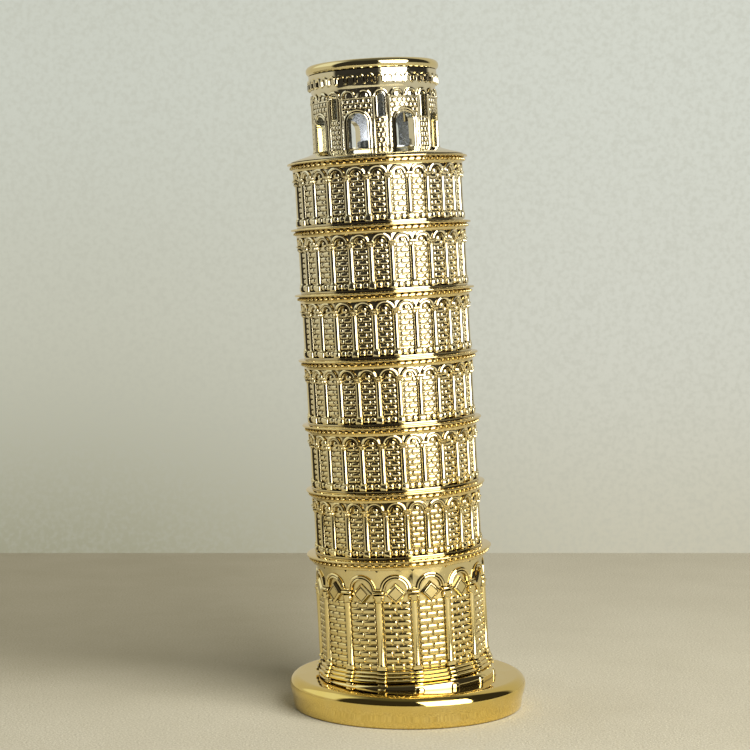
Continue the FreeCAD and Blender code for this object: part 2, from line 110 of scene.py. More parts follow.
def loft(rings, cap_start=True, cap_end=True):
    """Skin equal closed rings of points, one after another, into a closed shape."""
    count = len(rings[0])
    points = [point for ring in rings for point in ring]
    faces = []
    for level in range(len(rings) - 1):
        low, high = level * count, (level + 1) * count
        for index in range(count):
            after = (index + 1) % count
            faces.append((low + index, low + after, high + after, high + index))
    if cap_start:
        faces.append(tuple(reversed(range(count))))
    if cap_end:
        faces.append(tuple(range(len(points) - count, len(points))))
    return points, faces


def rounded_rectangle(across, up, half_width, half_height, corner, out):
    """Eight-point outline of a block with cut corners."""
    w, h = half_width, half_height
    c = min(corner, w * 0.9, h * 0.9)
    outline = [(w - c, -h), (w, -h + c), (w, h - c), (w - c, h),
               (-w + c, h), (-w, h - c), (-w, -h + c), (-w + c, -h)]
    return [(across + x, out, up + y) for x, y in outline]


def pillow(across, up, width, height, base, depth, soft=0.35):
    """Raised block with rounded shoulders, such as a cast brick."""
    w, h = width / 2, height / 2
    inset = min(w, h) * soft
    rings = []
    for share, rise in PILLOW_SECTION:
        cut = inset * share
        rings.append(rounded_rectangle(across, up, w - cut, h - cut, inset * 0.6, base + depth * rise))
    return loft(rings)


def bricks(edges, middle, course, base, depth, soft, joint=JOINT):
    """One course of bricks between the given edges."""
    return [pillow((left + right) / 2, middle, right - left - joint, course - joint, base, depth, soft)
            for left, right in zip(edges, edges[1:])]


def lathe(across, out, profile, segments=14):
    """Round upright member with its own axis, from a profile of (radius, height)."""
    rings = []
    for radius, height in profile:
        ring = []
        for index in range(segments):
            angle = 2 * math.pi * index / segments
            ring.append((across + radius * math.cos(angle), out + radius * math.sin(angle), height))
        rings.append(ring)
    return loft(rings)


def arch_roll(up, radius, thickness, out, across=0.0, steps=20, sides=8):
    """Round moulding that follows a half-round arch."""
    rings = []
    for step in range(steps + 1):
        angle = math.pi * step / steps
        ring = []
        for side in range(sides):
            around = 2 * math.pi * side / sides
            reach = radius + thickness * math.cos(around)
            ring.append((across + reach * math.cos(angle), out + thickness * math.sin(around),
                         up + reach * math.sin(angle)))
        rings.append(ring)
    return loft(rings)


def straight_roll(start, end, thickness, out, sides=8):
    """Round moulding along a straight line between two (across, up) points."""
    run = Vector(end) - Vector(start)
    side_way = Vector((-run.y, run.x)).normalized()
    rings = []
    for across, up in (start, end):
        ring = []
        for side in range(sides):
            around = 2 * math.pi * side / sides
            shift = side_way * thickness * math.cos(around)
            ring.append((across + shift.x, out + thickness * math.sin(around), up + shift.y))
        rings.append(ring)
    return loft(rings)


def arch_plate(up, radius, half_width, top, face, back, steps=20):
    """Spandrel slab: a rectangle above the springing with a half-round opening cut out of it."""
    rings = []
    for step in range(steps + 1):
        angle = math.pi * step / steps
        x, y = math.cos(angle), math.sin(angle)
        reach = min(half_width / max(abs(x), 1e-6), top / max(y, 1e-6))
        rings.append([
            (radius * x, back, up + radius * y),
            (radius * x, face, up + radius * y),
            (reach * x, face, up + reach * y),
            (reach * x, back, up + reach * y),
        ])
    return loft(rings)


def bump(across, up, half_width, half_height, base, depth, segments=10, levels=3):
    """Rounded boss, such as a bead or a leaf."""
    rings = []
    for level in range(-1, levels):
        lift = math.pi / 2 * level / levels
        ring = []
        for index in range(segments):
            angle = 2 * math.pi * index / segments
            ring.append((across + half_width * math.cos(lift) * math.cos(angle),
                         base + depth * math.sin(lift),
                         up + half_height * math.cos(lift) * math.sin(angle)))
        rings.append(ring)
    return loft(rings)


def diamond(up, reach, base):
    """Lozenge: a broad bevelled frame, a groove and a flat raised middle."""
    rings = []
    for share, rise in LOZENGE_SECTION:
        size = reach * share
        rings.append([(0.0, base + rise, up - size), (size, base + rise, up),
                      (0.0, base + rise, up + size), (-size, base + rise, up)])
    return loft(rings)


def stilted_arch(up, radius, legs, thickness, out, steps=10, sides=6):
    """Small arch whose moulding runs down both sides as straight legs."""
    path = [(radius, up - legs, 0.0)]
    for step in range(steps + 1):
        angle = math.pi * step / steps
        path.append((radius * math.cos(angle), up + radius * math.sin(angle), angle))
    path.append((-radius, up - legs, math.pi))
    rings = []
    for x, y, angle in path:
        ring = []
        for side in range(sides):
            around = 2 * math.pi * side / sides
            shift = thickness * math.cos(around)
            ring.append((x + shift * math.cos(angle), out + thickness * math.sin(around),
                         y + shift * math.sin(angle)))
        rings.append(ring)
    return loft(rings)


# ---------------------------------------------------------------- pieces

class Piece:
    """One cast piece, collected shape by shape around an upright axis."""

    def __init__(self, name):
        self.name = name
        self.points = []
        self.faces = []

    def add(self, points, faces):
        start = len(self.points)
        self.points += points
        self.faces += [tuple(start + index for index in face) for face in faces]

    def stamp(self, shape, turn, radius):
        """Wrap a shape onto the wall at a turn, keeping its widths true at a radius."""
        points, faces = shape
        self.add([(turn + math.degrees(across / radius), out, up) for across, out, up in points], faces)

    def lay(self, shape, turn):
        """Set a shape on the wall at a turn without bending it, so that its flat faces stay flat."""
        points, faces = shape
        self.add([(turn + math.degrees(math.atan2(across, out)), math.hypot(across, out), up)
                  for across, out, up in points], faces)

    def lay_round(self, shapes, count, first_turn):
        for index in range(count):
            for shape in shapes:
                self.lay(shape, first_turn + 360.0 * index / count)

    def stamp_round(self, shapes, count, first_turn, radius):
        for index in range(count):
            for shape in shapes:
                self.stamp(shape, first_turn + 360.0 * index / count, radius)

    def revolve(self, profile, segments=200):
        """Closed ring from a closed profile of (radius, height)."""
        count = len(profile)
        points = [(360.0 * step / segments, radius, height)
                  for step in range(segments) for radius, height in profile]
        faces = []
        for step in range(segments):
            here, there = step * count, (step + 1) % segments * count
            for index in range(count):
                after = (index + 1) % count
                faces.append((here + index, here + after, there + after, there + index))
        self.add(points, faces)

    def mesh(self, foot, lean):
        """Mesh in metres, standing at a distance along the axis."""
        placed = Matrix.Rotation(-lean, 4, "Y") @ Matrix.Translation((0, 0, foot))
        vertices = []
        for turn, radius, height in self.points:
            angle = math.radians(turn)
            upright = Vector((radius * math.sin(angle), -radius * math.cos(angle), height))
            vertices.append(placed @ upright * MM)
        mesh = bpy.data.meshes.new(self.name)
        mesh.from_pydata(vertices, [], self.faces)
        return mesh

    def build(self, foot, material, slot, lean=LEAN, sharp=38.0, lining=None, lined_to=0.0):
        """Make the object, and let it stand for its CAD node; faces within a radius get the lining."""
        mesh = self.mesh(foot, lean)
        mesh.materials.append(material)
        if lining:
            mesh.materials.append(lining)
            for polygon in mesh.polygons:
                if all(self.points[index][1] < lined_to for index in polygon.vertices):
                    polygon.material_index = 1
        shell = bmesh.new()
        shell.from_mesh(mesh)
        bmesh.ops.recalc_face_normals(shell, faces=shell.faces)
        shell.to_mesh(mesh)
        shell.free()
        return show(mesh, self.name, sharp)


def show(mesh, name, sharp):
    mesh.shade_smooth()
    mesh.set_sharp_from_angle(angle=math.radians(sharp))
    item = bpy.data.objects.new(f"{name}_cast", mesh)
    bpy.context.scene.collection.objects.link(item)
    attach(item, "root")
    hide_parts(name)
    return item


def shell_profile(bore, height, outside):
    """Section of a hollow casting: outer wall, top web and the hub that the rod passes through."""
    inside = [(ROD_BORE, height), (ROD_BORE, 0.0), (HUB, 0.0), (HUB, height - WEB), (bore, height - WEB),
              (bore, 0.0)]
    return inside + outside


def arc_points(centre, radius, start, end, steps):
    """Points on an arc in a profile, between two angles in degrees."""
    points = []
    for step in range(steps + 1):
        angle = math.radians(start + (end - start) * step / steps)
        points.append((centre[0] + radius * math.cos(angle), centre[1] + radius * math.sin(angle)))
    return points


# ---------------------------------------------------------------- materials

def new_material(name):
    material = bpy.data.materials.new(name)
    material.use_nodes = True
    nodes = material.node_tree.nodes
    return material, nodes, material.node_tree.links, nodes["Principled BSDF"]


def noise(nodes, links, scale, detail=3.0, roughness=0.5):
    """Noise that is fixed to the object's own coordinates."""
    place = nodes.new("ShaderNodeTexCoord")
    texture = nodes.new("ShaderNodeTexNoise")
    texture.inputs["Scale"].default_value = scale
    texture.inputs["Detail"].default_value = detail
    texture.inputs["Roughness"].default_value = roughness
    links.new(place.outputs["Object"], texture.inputs["Vector"])
    return texture


def ranged(nodes, links, source, low, high, from_low=0.3, from_high=0.7):
    """Spread a 0 to 1 value over a range."""
    spread = nodes.new("ShaderNodeMapRange")
    spread.inputs["From Min"].default_value = from_low
    spread.inputs["From Max"].default_value = from_high
    spread.inputs["To Min"].default_value = low
    spread.inputs["To Max"].default_value = high
    links.new(source, spread.inputs["Value"])
    return spread.outputs["Result"]


def tinted(nodes, links, source, first, second):
    """Mix two colours by a 0 to 1 value."""
    mix = nodes.new("ShaderNodeMix")
    mix.data_type = "RGBA"
    mix.inputs["A"].default_value = (*first, 1)
    mix.inputs["B"].default_value = (*second, 1)
    links.new(source, mix.inputs["Factor"])
    return mix.outputs["Result"]


def bumped(nodes, links, source, distance, strength, normal=None):
    relief = nodes.new("ShaderNodeBump")
    relief.inputs["Distance"].default_value = distance
    relief.inputs["Strength"].default_value = strength
    links.new(source, relief.inputs["Height"])
    if normal is not None:
        links.new(normal, relief.inputs["Normal"])
    return relief.outputs["Normal"]


def gold_plate(name, foot_tone, head_tone, low_roughness, high_roughness, ripple):
    """Bright metal plate, wavy and hazy, with painted shade darkening its recesses; its tone drifts from foot
    to head as painted light.
    """
    material, nodes, links, shader = new_material(name)
    shader.inputs["Metallic"].default_value = 1.0
    patches = noise(nodes, links, 180.0)
    haze = noise(nodes, links, 900.0, 5.0)
    waves = noise(nodes, links, 260.0, 2.0)
    grain = noise(nodes, links, 5200.0, 2.0)
    # Painted shade: ambient occlusion mixes this dark brown tone into recesses, creases and the gaps between
    # parts.
    recess_reach, painted_recess_shade = 0.7 * MM, (0.20, 0.15, 0.07, 1)
    place = nodes.new("ShaderNodeTexCoord")
    parts = nodes.new("ShaderNodeSeparateXYZ")
    links.new(place.outputs["Object"], parts.inputs["Vector"])
    # Painted light: the tone shifts from the foot tone to the head tone with height, standing in for the
    # window's light above and the cloth reflected below; random patches are added to it.
    rise = ranged(nodes, links, parts.outputs["Z"], 0.0, 0.85, 0.01, 0.16)
    drift = nodes.new("ShaderNodeMath")
    drift.operation = "ADD"
    links.new(rise, drift.inputs[0])
    links.new(ranged(nodes, links, patches.outputs["Fac"], -0.15, 0.15), drift.inputs[1])
    recess = nodes.new("ShaderNodeAmbientOcclusion")
    recess.samples = 6
    recess.inputs["Distance"].default_value = recess_reach
    unshaded_share = ranged(nodes, links, recess.outputs["AO"], 0.0, 1.0, 0.3, 0.85)
    # Mix of the painted shade into the plate's tone.
    painted_shade_mix = nodes.new("ShaderNodeMix")
    painted_shade_mix.data_type = "RGBA"
    painted_shade_mix.inputs["A"].default_value = painted_recess_shade
    links.new(tinted(nodes, links, drift.outputs["Value"], foot_tone, head_tone), painted_shade_mix.inputs["B"])
    links.new(unshaded_share, painted_shade_mix.inputs["Factor"])
    links.new(painted_shade_mix.outputs["Result"], shader.inputs["Base Color"])
    roughness = ranged(nodes, links, haze.outputs["Fac"], low_roughness, high_roughness)
    links.new(roughness, shader.inputs["Roughness"])
    wavy = bumped(nodes, links, waves.outputs["Fac"], ripple * MM, 1.0)
    links.new(bumped(nodes, links, grain.outputs["Fac"], 0.002 * MM, 0.5, wavy), shader.inputs["Normal"])
    return material


def felt_material():
    material, nodes, links, shader = new_material("green_felt")
    fibres = noise(nodes, links, 2600.0, 6.0, 0.7)
    tone = ranged(nodes, links, fibres.outputs["Fac"], 0.0, 1.0)
    green = tinted(nodes, links, tone, (0.02, 0.06, 0.035), (0.05, 0.12, 0.07))
    links.new(green, shader.inputs["Base Color"])
    shader.inputs["Roughness"].default_value = 0.95
    shader.inputs["Sheen Weight"].default_value = 0.4
    links.new(bumped(nodes, links, fibres.outputs["Fac"], 0.15 * MM, 1.0), shader.inputs["Normal"])
    return material


def steel_material():
    material, nodes, links, shader = new_material("zinc_steel")
    shader.inputs["Metallic"].default_value = 1.0
    scratches = noise(nodes, links, 1400.0, 4.0, 0.6)
    tone = ranged(nodes, links, scratches.outputs["Fac"], 0.0, 1.0)
    links.new(tinted(nodes, links, tone, (0.58, 0.58, 0.60), (0.70, 0.70, 0.70)), shader.inputs["Base Color"])
    links.new(ranged(nodes, links, scratches.outputs["Fac"], 0.22, 0.42), shader.inputs["Roughness"])
    links.new(bumped(nodes, links, scratches.outputs["Fac"], 0.01 * MM, 0.6), shader.inputs["Normal"])
    return material


# Each material's foot and head tones carry the painted light of the height drift, and its recesses get
# painted shade.
wall_gold = gold_plate("gold_walls", (0.91, 0.74, 0.33), (0.92, 0.86, 0.66), 0.03, 0.08, 0.008)
cornice_gold = gold_plate("gold_cornices", (0.88, 0.70, 0.31), (0.89, 0.73, 0.37), 0.05, 0.11, 0.008)
base_gold = gold_plate("gold_polished", (0.84, 0.64, 0.20), (0.90, 0.78, 0.44), 0.03, 0.07, 0.012)
lining_nickel = gold_plate("nickel_lining", (0.50, 0.52, 0.54), (0.46, 0.49, 0.53), 0.24, 0.32, 0.004)
felt_green = felt_material()
steel = steel_material()


# ---------------------------------------------------------------- base, felt and plinth course

def make_base():
    piece = Piece("base")
    round_radius = 2.6
    centre = (33.2 - round_radius, BASE_HEIGHT - round_radius)
    profile = [(ROD_BORE, BASE_HEIGHT), (ROD_BORE, 5.2), (4.2, 5.2), (4.2, FELT_THICKNESS),
               (FELT_RADIUS + 0.1, FELT_THICKNESS), (FELT_RADIUS + 0.1, 0.0),
               (31.9, 0.0), (32.15, 0.3), (32.25, 2.0), (32.5, 3.4), (32.9, 4.6), (33.12, 5.6)]
    profile += arc_points(centre, round_radius, 0, 90, 20)
    profile += [(28.0, BASE_HEIGHT), (25.0, BASE_HEIGHT)]
    piece.revolve(profile, 256)
    return piece.build(0.0, base_gold, "gold_plate", lean=0.0, sharp=50.0)


def make_felt():
    piece = Piece("base_felt")
    edge = arc_points((FELT_RADIUS - 0.3, 0.3), 0.3, -90, 0, 4)
    profile = [(4.4, FELT_THICKNESS), (4.4, 0.0)] + edge + [(FELT_RADIUS, FELT_THICKNESS)]
    piece.revolve(profile, 128)
    return piece.build(0.0, felt_green, "felt", lean=0.0)


def make_plinth():
    """Lowest course: it flares onto the base, with a block under each column."""
    piece = Piece("tower_plinth")
    bottom = 6.6
    swell = arc_points((23.1, 8.9), 1.9, 0, 80, 8)
    profile = [(ROD_BORE, bottom), (24.9, bottom)] + swell + [(23.3, PLINTH_TOP), (ROD_BORE, PLINTH_TOP)]
    piece.revolve(profile, 180)
    block = [pillow(0.0, 10.3, 2.6, 1.3, 23.3, 1.2, 0.5), pillow(0.0, 8.3, 2.9, 3.0, 24.3, 1.1, 0.5)]
    piece.stamp_round(block, GROUND_BAYS, GROUND_TURN, 23.5)
    item = piece.build(0.0, wall_gold, "gold_plate")
    trim_below(item.data, BASE_HEIGHT * MM)
    return item


def trim_below(mesh, level):
    """Cut a mesh off flat at a level."""
    shell = bmesh.new()
    shell.from_mesh(mesh)
    geometry = shell.verts[:] + shell.edges[:] + shell.faces[:]
    bmesh.ops.bisect_plane(shell, geom=geometry, plane_co=(0, 0, level), plane_no=(0, 0, 1), clear_inner=True)
    shell.to_mesh(mesh)
    shell.free()


# ---------------------------------------------------------------- ground storey

def ground_bay(pitch):
    """Shapes of one bay of the ground storey, centred between two columns."""
    springing = 25.1
    panel = pitch - 2.0
    course = 1.69
    shapes = []
    for row in range(11):
        middle = 3.35 + course * (row + 0.5)
        if row % 2:
            edges = [-panel / 2, 0.0, panel / 2]
        else:
            edges = [-panel / 2, -1.5, 1.5, panel / 2]
        shapes += bricks(edges, middle, course, GROUND_WALL, 0.42, 0.55, 0.1)
    shapes.append(arch_plate(springing, 2.9, pitch / 2, GROUND_HEIGHT - springing, 23.2, GROUND_WALL - 0.5))
    shapes.append(arch_roll(springing, 3.85, 0.42, 23.25))
    shapes.append(arch_roll(springing, 3.12, 0.3, 23.2))
    return shapes


def ground_column():
    """Column between two bays: block, round shaft, leaves and the rounded band that the arches stand on."""
    out = 22.95
    shapes = [
        pillow(0.0, 0.5, 2.5, 0.95, 24.3, 0.9, 0.45),
        pillow(0.0, 1.5, 2.5, 0.95, 23.9, 0.9, 0.45),
        pillow(0.0, 2.5, 2.5, 0.95, 23.5, 0.9, 0.45),
        pillow(0.0, 3.65, 2.7, 1.1, 22.8, 1.1, 0.35),
        lathe(0.0, out, [(1.2, 4.0), (1.22, 4.35), (1.0, 4.6), (0.95, 4.9), (0.93, 21.6), (1.1, 21.8),
                          (1.1, 22.0), (0.98, 22.1), (1.05, 22.8), (1.4, 23.7)], 18),
        pillow(0.0, 24.4, 3.5, 1.25, 22.9, 1.15, 0.8),
        pillow(0.0, 25.25, 2.0, 0.6, 22.9, 0.95, 0.6),
    ]
    for across in (-1.1, 0.0, 1.1):
        shapes.append(bump(across, 22.9, 0.48, 0.95, 22.9, 1.05 - 0.12 * abs(across), 10, 4))
    return shapes


def make_ground_storey():
    piece = Piece("ground_storey")
    steps = []
    radius = 24.55
    for step in range(3):
        steps += [(radius - 0.12, step), (radius, step + 0.18), (radius, step + 0.62),
                  (radius - 0.15, step + 0.8), (radius - 0.38, step + 0.95)]
        radius -= 0.42
    outside = steps + [(GROUND_WALL + 0.3, 3.05), (GROUND_WALL, 3.2), (GROUND_WALL, GROUND_HEIGHT - 0.1),
                       (GROUND_WALL, GROUND_HEIGHT)]
    piece.revolve(shell_profile(20.6, GROUND_HEIGHT, outside), 180)
    pitch = 2 * math.pi * 22.9 / GROUND_BAYS
    half = 180.0 / GROUND_BAYS
    piece.stamp_round(ground_bay(pitch), GROUND_BAYS, GROUND_TURN + half, 22.9)
    piece.lay_round([diamond(24.0, 2.95, GROUND_WALL + 0.2)], GROUND_BAYS, GROUND_TURN + half)
    piece.stamp_round(ground_column(), GROUND_BAYS, GROUND_TURN, 22.9)
    return piece.build(PLINTH_TOP, wall_gold, "gold_plate")


# ---------------------------------------------------------------- loggia storeys

def loggia_bay(pitch):
    """Shapes of one bay of a loggia storey, centred between two columns."""
    springing = 12.9
    panel = pitch - 1.75
    course = 1.44
    shapes = []
    for row in range(7):
        middle = 2.6 + course * (row + 0.5)
        edges = [-panel / 2, -panel / 6, panel / 2] if row % 2 else [-panel / 2, panel / 6, panel / 2]
        shapes += bricks(edges, middle, course, LOGGIA_WALL, 0.45, 0.62)
    for across in (-panel / 4, panel / 4):
        shapes.append(pillow(across, 1.5, panel / 2 - 0.12, 1.8, LOGGIA_WALL, 0.75, 0.6))
    shapes.append(arch_plate(springing, 1.6, pitch / 2, STOREY_HEIGHT - springing, 23.0, LOGGIA_WALL - 0.4))
    shapes.append(arch_roll(springing, 2.3, 0.4, 23.2, steps=16, sides=8))
    shapes.append(arch_roll(springing, 1.68, 0.26, 23.05, steps=14, sides=6))
    shapes.append(bump(0.0, springing + 0.3, 0.95, 0.95, LOGGIA_WALL, 0.75, 12, 4))
    return shapes


def loggia_column():
    out = 22.5
    shapes = [
        pillow(0.0, 1.25, 2.15, 1.9, 22.4, 1.2, 0.35),
        lathe(0.0, out, [(1.05, 2.1), (1.08, 2.35), (0.88, 2.6), (0.84, 2.9), (0.82, 11.4), (0.98, 11.55),
                         (0.98, 11.7), (0.9, 11.8), (0.95, 12.2), (1.2, 12.7)], 14),
        pillow(0.0, 13.0, 2.3, 0.8, 22.5, 1.45, 0.7),
    ]
    for across in (-0.72, 0.0, 0.72):
        shapes.append(bump(across, 12.15, 0.4, 0.66, 22.5, 1.3 - 0.25 * abs(across), 8, 4))
    return shapes


def loggia_piece(name):
    piece = Piece(name)
    outside = [(23.3, 0.0), (23.35, 0.15), (23.3, 0.45), (LOGGIA_WALL + 0.2, 0.6), (LOGGIA_WALL, 0.7),
               (LOGGIA_WALL, STOREY_HEIGHT)]
    piece.revolve(shell_profile(20.2, STOREY_HEIGHT, outside), 200)
    pitch = 2 * math.pi * 22.5 / LOGGIA_BAYS
    half = 180.0 / LOGGIA_BAYS
    piece.stamp_round(loggia_bay(pitch), LOGGIA_BAYS, LOGGIA_TURN + half, 22.5)
    piece.stamp_round(loggia_column(), LOGGIA_BAYS, LOGGIA_TURN, 22.5)
    return piece


# ---------------------------------------------------------------- cornices

def cornice_piece(name, lip):
    """Hollow underside with a row of beads, rounded lip, sloping top and the thin deck inside."""
    piece = Piece(name)
    spigot_in, spigot_out, spigot_top = 18.5, 20.1, CORNICE_HEIGHT + 0.8
    root = lip - 1.35
    hollow = [(root - 0.25, 0.0), (root - 0.12, 0.1), (root - 0.1, 0.35), (root + 0.02, 0.6),
              (root + 0.2, 0.78), (root + 0.05, 0.9), (root - 0.05, 1.2), (root, 1.6),
              (root + 0.3, 1.86), (root + 0.8, 1.97)]
    rolled = arc_points((lip - 0.29, 2.22), 0.29, -85, 85, 10)
    profile = [(ROD_BORE, 0.0)] + hollow + rolled
    profile += [(lip - 0.8, 2.6), (23.4, CORNICE_HEIGHT), (spigot_out, CORNICE_HEIGHT),
                (spigot_out, spigot_top), (spigot_in, spigot_top), (spigot_in, WEB), (HUB, WEB),
                (HUB, CORNICE_HEIGHT),
                (ROD_BORE, CORNICE_HEIGHT)]
    piece.revolve(profile, 225)
    bead = bump(0.0, 1.2, 0.52, 0.44, root - 0.05, 0.85, 12, 4)
    piece.stamp_round([bead], BEADS, LOGGIA_TURN, root + 0.5)
    return piece


# ---------------------------------------------------------------- belfry

def make_terrace():
    piece = Piece("belfry_terrace")
    bore = BELFRY_BORE - 0.1
    profile = [(4.2, 3.7), (4.2, 0.0), (18.4, 0.0), (18.4, 0.9), (20.2, 0.9), (20.2, 0.0), (23.7, 0.0),
               (23.95, 0.0), (23.8, 0.2), (22.0, 0.75), (20.0, 1.3), (18.6, 1.75), (18.1, 1.95), (17.9, 2.1),
               (bore, 2.1), (bore, 2.7), (5.2, 2.7), (5.2, 4.7), (4.9, 5.0), (0.01, 5.0), (0.01, 3.7)]
    piece.revolve(profile, 200)
    return piece.build(TERRACE_FOOT, wall_gold, "gold_plate", lining=lining_nickel, lined_to=BELFRY_BORE)


def opening_cutter(width, sill, springing, turn):
    """Solid with a half-round head that cuts one opening through the drum."""
    steps = 16
    outline = [(-width / 2, sill), (width / 2, sill)]
    for step in range(steps + 1):
        angle = math.pi * step / steps
        outline.append((width / 2 * math.cos(angle), springing + width / 2 * math.sin(angle)))
    beyond = 3.0
    rings = [[(x, out, y) for x, y in outline] for out in (BELFRY_BORE - beyond, BELFRY_WALL + beyond)]
    points, faces = loft(rings)
    turned = Matrix.Rotation(math.radians(turn), 4, "Z")
    return [turned @ Vector((x, -out, y)) for x, out, y in points], faces


def belfry_walls():
    """Drum wall with its doorways and slits cut through, as (turn, radius, height) points and faces."""
    wall = Piece("drum_wall")
    profile = [(BELFRY_BORE, 0.0), (BELFRY_WALL, 0.0), (BELFRY_WALL, 16.2), (17.15, 16.5), (17.4, 17.2),
               (17.5, 18.0), (17.6, 19.4), (17.75, 20.0), (17.75, BELFRY_HEIGHT),
               (BELFRY_BORE, BELFRY_HEIGHT)]
    wall.revolve(profile, 192)
    upright = wall.mesh(0.0, 0.0)
    upright.transform(Matrix.Scale(1 / MM, 4))
    cutters = Piece("cutters")
    for bay in range(BELFRY_BAYS):
        turn = 360.0 * bay / BELFRY_BAYS + BELFRY_TURN
        cutters.add(*opening_cutter(DOOR_WIDTH, -1.0, DOOR_SPRINGING, turn + 180.0 / BELFRY_BAYS))
        cutters.add(*opening_cutter(SLIT_WIDTH, SLIT_SILL, SMALL_SPRINGING, turn))
    cutter_mesh = bpy.data.meshes.new("cutters")
    cutter_mesh.from_pydata(cutters.points, [], cutters.faces)
    items = []
    for name, mesh in (("drum_blank", upright), ("drum_cutters", cutter_mesh)):
        shell = bmesh.new()
        shell.from_mesh(mesh)
        bmesh.ops.recalc_face_normals(shell, faces=shell.faces)
        shell.to_mesh(mesh)
        shell.free()
        item = bpy.data.objects.new(name, mesh)
        bpy.context.scene.collection.objects.link(item)
        items.append(item)
    blank, cutter = items
    cut = blank.modifiers.new("openings", "BOOLEAN")
    cut.operation = "DIFFERENCE"
    cut.solver = "EXACT"
    cut.object = cutter
    bpy.context.view_layer.update()
    done = bpy.data.meshes.new_from_object(blank.evaluated_get(bpy.context.evaluated_depsgraph_get()))
    points = []
    for vertex in done.vertices:
        x, y, z = vertex.co
        points.append((math.degrees(math.atan2(x, -y)), math.hypot(x, y), z))
    faces = [tuple(face.vertices) for face in done.polygons]
    for item in items:
        bpy.data.objects.remove(item)
    return points, faces


def clipped_bricks(edges, middle, course, reach):
    """Belfry bricks of one course, cut short where a moulding of a given half width stands."""
    shortest = 0.45
    shapes = []
    for left, right in zip(edges, edges[1:]):
        for low, high in ((left, min(right, -reach)), (max(left, reach), right)):
            if high - low > shortest:
                shapes += bricks([low, high], middle, course, BELFRY_WALL, *BELFRY_BRICK)
    return shapes


def door_bay():
    """Shapes around one doorway: mouldings, bricks, string course and two small blind arches."""
    springing = DOOR_SPRINGING
    half = 4.4
    clear = 3.9
    brick = 1.5
    course = BELFRY_COURSE
    small_pitch = math.radians(15.0) * BELFRY_WALL
    shapes = [
        arch_roll(springing, 3.6, 0.36, 17.1),
        arch_roll(springing, 2.95, 0.24, 17.05),
        straight_roll((-half + 0.1, 13.6), (0.0, 13.6), 0.26, 17.15),
        straight_roll((0.0, 13.6), (half - 0.1, 13.6), 0.26, 17.15),
    ]
    for side in (-1, 1):
        shapes.append(straight_roll((side * 3.6, 0.0), (side * 3.6, springing), 0.36, 17.1))
        shapes.append(straight_roll((side * 2.95, 0.0), (side * 2.95, springing), 0.24, 17.05))
        shapes.append(arch_roll(13.9, 1.75, 0.36, 17.2, across=side * small_pitch / 2, steps=14, sides=8))
        shapes.append(bump(side * small_pitch / 2, 14.2, 1.1, 1.0, 16.95, 0.4, 12, 4))
    shapes.append(pillow(0.0, 13.95, 0.8, 0.8, 17.0, 0.6, 0.6))
    for row in range(10):
        middle = 0.15 + course * (row + 0.5)
        rise = middle - springing
        if rise <= 0:
            reach = clear
        elif rise < clear:
            reach = math.sqrt(clear ** 2 - rise ** 2)
        else:
            reach = 0.0
        shift = brick / 2 if row % 2 else 0.0
        joints = [step * brick + shift for step in range(-3, 4)]
        edges = [-half] + [joint for joint in joints if abs(joint) < half - 0.4] + [half]
        if reach:
            shapes += clipped_bricks(edges, middle, course, reach)
        else:
            shapes += bricks(edges, middle, course, BELFRY_WALL, *BELFRY_BRICK)
    return shapes


def slit_bay():
    """Shapes around one slit window: pilasters, frame, small arch and bricks under the sill."""
    shapes = [
        arch_roll(13.9, 1.75, 0.36, 17.2, steps=14, sides=8),
        arch_roll(13.9, 1.15, 0.26, 17.1, steps=14, sides=6),
        pillow(0.0, 8.15, 2.4, 0.45, 17.0, 0.35, 0.6),
    ]
    for side in (-1, 1):
        pilaster = [(0.72, 0.0), (0.72, 0.5), (0.55, 0.75), (0.52, 13.3), (0.7, 13.6), (0.74, 14.0),
                    (0.5, 14.2)]
        shapes.append(lathe(side * 2.15, 17.0, pilaster, 12))
        shapes.append(straight_roll((side * 1.15, 8.4), (side * 1.15, 13.9), 0.26, 17.1))
    course = BELFRY_COURSE
    for row in range(6):
        middle = 0.15 + course * (row + 0.5)
        edges = [-1.5, 0.0, 1.5] if row % 2 else [-1.5, -0.6, 0.6, 1.5]
        shapes += bricks(edges, middle, course, BELFRY_WALL, *BELFRY_BRICK)
    return shapes


def make_belfry_drum():
    piece = Piece("belfry_drum")
    piece.add(*belfry_walls())
    piece.stamp_round(door_bay(), BELFRY_BAYS, BELFRY_TURN + 180.0 / BELFRY_BAYS, BELFRY_WALL)
    piece.stamp_round(slit_bay(), BELFRY_BAYS, BELFRY_TURN, BELFRY_WALL)
    pitch = 2 * math.pi * 17.7 / CORBELS
    corbel = [stilted_arch(18.75, pitch / 2 - 0.4, 1.0, 0.46, 17.75),
              bump(pitch / 2, 17.7, 0.5, 0.5, 17.45, 0.8, 8, 3)]
    piece.stamp_round(corbel, CORBELS, BELFRY_TURN, 17.7)
    return piece.build(BELFRY_FOOT, wall_gold, "gold_plate", sharp=32.0, lining=lining_nickel,
                       lined_to=BELFRY_BORE + 0.05)


def make_belfry_rim():
    piece = Piece("belfry_rim")
    outer = arc_points((17.0, 1.4), 1.4, -88, 90, 18)
    inner = arc_points((13.9, 1.8), 1.0, 90, 180, 8)
    profile = outer + inner + [(12.9, -0.8), (BELFRY_BORE - 0.1, -0.8), (BELFRY_BORE - 0.1, 0.0)]
    piece.revolve(profile, 200)
    return piece.build(BELFRY_FOOT + BELFRY_HEIGHT, base_gold, "gold_plate", sharp=50.0)


# ---------------------------------------------------------------- build the tower

